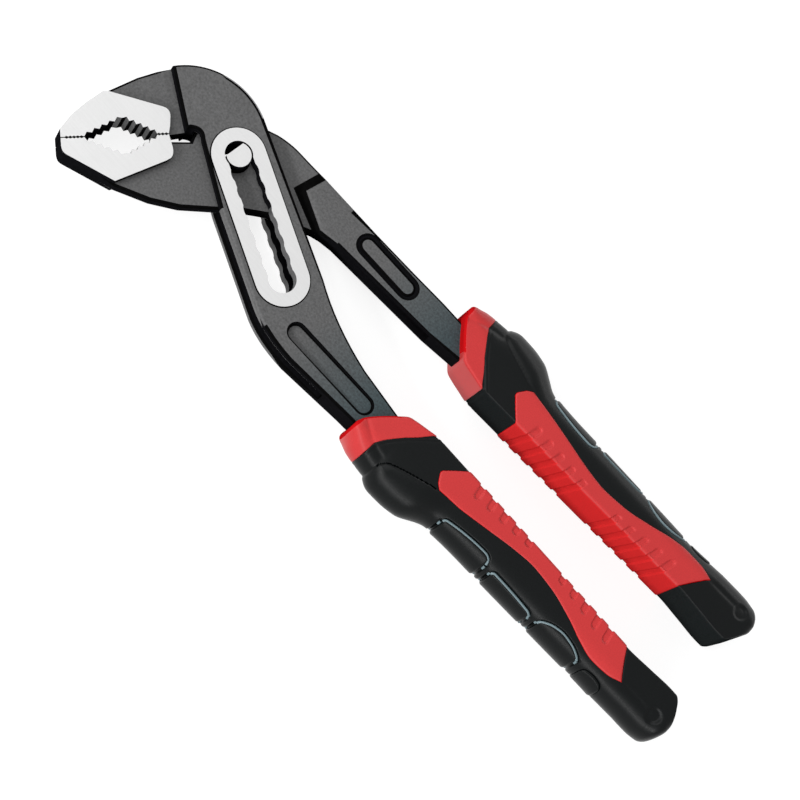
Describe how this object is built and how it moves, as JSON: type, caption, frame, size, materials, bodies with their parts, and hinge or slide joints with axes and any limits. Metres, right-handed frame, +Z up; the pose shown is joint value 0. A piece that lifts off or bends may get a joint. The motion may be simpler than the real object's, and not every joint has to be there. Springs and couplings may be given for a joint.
{
  "type": "water pump pliers",
  "caption": "Adjustable box-joint pliers with curved toothed jaws, a pin that slides along a scalloped slot, and two-colour moulded grips.",
  "frame": {"origin": "under the middle of the closed pliers, in the plane of the flat backs of the grips that they lie on", "axes": "+X from the jaws along the outer handle to the tails, +Y from the outer handle to the inner handle, +Z up, along the pin"},
  "size_m": [0.2486, 0.0694, 0.017],
  "materials": {
    "dark_steel": "forged steel with a dark grey phosphate finish",
    "bright_steel": "ground bright",
    "grip_core": "moulded, hidden",
    "red_grip": "satin moulded",
    "black_grip": "satin moulded"
  },
  "bodies": {
    "outer": {"outer_lever": "dark_steel", "outer_grip_core": "grip_core", "outer_grip_collar": "red_grip", "outer_grip_shell": "black_grip", "outer_grip_inlay": "red_grip", "outer_finger_pad_1": "black_grip", "outer_finger_pad_2": "black_grip", "outer_finger_pad_3": "black_grip", "outer_finger_pad_4": "black_grip"},
    "pin": {"pivot_pin": "bright_steel"},
    "inner": {"inner_lever": "dark_steel", "inner_grip_core": "grip_core", "inner_grip_collar": "red_grip", "inner_grip_shell": "black_grip", "inner_grip_inlay": "red_grip", "inner_finger_pad_1": "black_grip", "inner_finger_pad_2": "black_grip", "inner_finger_pad_3": "black_grip", "inner_finger_pad_4": "black_grip"}
  },
  "joints": [
    {"name": "slot_slide", "type": "slide", "parent": "outer", "child": "pin", "axis": [0.9121, -0.4099, 0], "range_m": [0, 0.0392]},
    {"name": "jaw_hinge", "type": "hinge", "parent": "pin", "child": "inner", "pos_m": [-0.0841, 0.0047, 0.0085], "axis": [0, 0, 1], "range_deg": [0, 65]}
  ]
}
